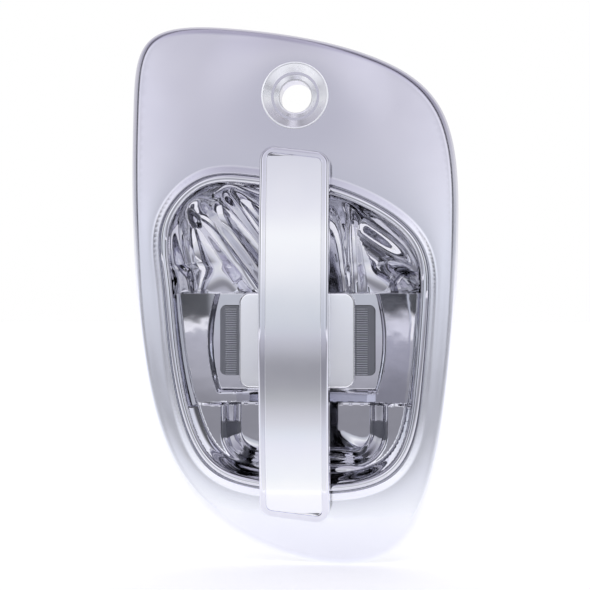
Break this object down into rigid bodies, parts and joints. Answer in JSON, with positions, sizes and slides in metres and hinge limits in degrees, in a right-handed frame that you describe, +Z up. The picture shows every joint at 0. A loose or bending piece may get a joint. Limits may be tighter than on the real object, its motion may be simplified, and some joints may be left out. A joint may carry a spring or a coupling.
{
  "type": "car door handle",
  "caption": "Chrome pull handle for a vehicle's outer door: oval bezel with lock dish, finger cup, sprung grab bar, courtesy lamp and rod bellcrank.",
  "frame": {"origin": "on the axis of the lock bore, in the plane of the door skin", "axes": "+X right and +Z up as the outside of the door is faced; +Y into the door, so the grab bar stands out along -Y"},
  "size_m": [0.1493, 0.1042, 0.2457],
  "materials": {
    "bezel_chrome": "bright chrome plating on ABS",
    "cup_chrome": "bright chrome plating on ABS",
    "bar_chrome": "bright chrome plating",
    "face_chrome": "bright chrome plating, bowed mirror",
    "cap_chrome": "satin-bright chrome plating",
    "cover_chrome": "chrome plating, moulded side",
    "cast_alloy": "as-cast, shot-blasted",
    "zinc_plated_steel": "bright zinc plate",
    "ground_steel": "ground",
    "spring_steel": "oiled spring wire",
    "stamped_steel": "yellow-passivated zinc plate",
    "foam_rubber": "closed-cell foam",
    "black_rubber": "moulded rubber",
    "bush_plastic": "natural acetal",
    "clip_plastic": "green nylon",
    "lens_clear": "clear polycarbonate",
    "lamp_white": "white ABS",
    "board_green": "solder mask",
    "led_yellow": "phosphor package",
    "resistor_black": "chip resistor"
  },
  "bodies": {
    "escutcheon": {"bezel": "bezel_chrome", "cup": "cup_chrome", "mounting_frame": "cast_alloy", "frame_screws": "zinc_plated_steel", "cup_screws": "zinc_plated_steel", "mounting_studs": "zinc_plated_steel", "door_gasket": "foam_rubber", "lock_collar_seal": "black_rubber", "hinge_pin": "ground_steel", "hinge_pin_clip": "spring_steel", "handle_return_spring": "spring_steel", "bellcrank_pin": "ground_steel", "bellcrank_pin_clip": "spring_steel", "bellcrank_spring": "spring_steel", "lamp_cap": "cap_chrome", "lamp_lens": "lens_clear", "lamp_gasket": "foam_rubber", "lamp_housing": "lamp_white", "lamp_screws": "zinc_plated_steel", "lamp_board": "board_green", "lamp_leds": "led_yellow", "lamp_resistors": "resistor_black", "wire_grommet": "black_rubber"},
    "grab_bar": {"handle_bar": "bar_chrome", "handle_face_plate": "face_chrome", "handle_core": "cast_alloy", "handle_back_cover": "cover_chrome", "handle_screws": "zinc_plated_steel", "bar_stop_pads": "black_rubber", "hinge_bushes": "bush_plastic", "pull_pin": "ground_steel"},
    "bellcrank_lever": {"bellcrank": "stamped_steel", "bellcrank_bush": "bush_plastic", "rod_clip": "clip_plastic"}
  },
  "joints": [
    {"name": "handle_pull", "type": "hinge", "parent": "escutcheon", "child": "grab_bar", "pos_m": [0.001, 0.0015, -0.0325], "axis": [-1, 0, 0], "range_deg": [0, 10], "stiffness_Nm_per_rad": 1.2, "springref_deg": -11.46, "deforming": ["handle_return_spring"]},
    {"name": "bellcrank_turn", "type": "hinge", "parent": "escutcheon", "child": "bellcrank_lever", "pos_m": [0.001, 0.03952, -0.11404], "axis": [-1, 0, 0], "range_deg": [0, 34.1], "stiffness_Nm_per_rad": 0.03, "springref_deg": -17.19, "deforming": ["bellcrank_spring"]}
  ],
  "couplings": [
    {"joint": "bellcrank_turn", "follows": "handle_pull", "ratio": 3.4042}
  ]
}
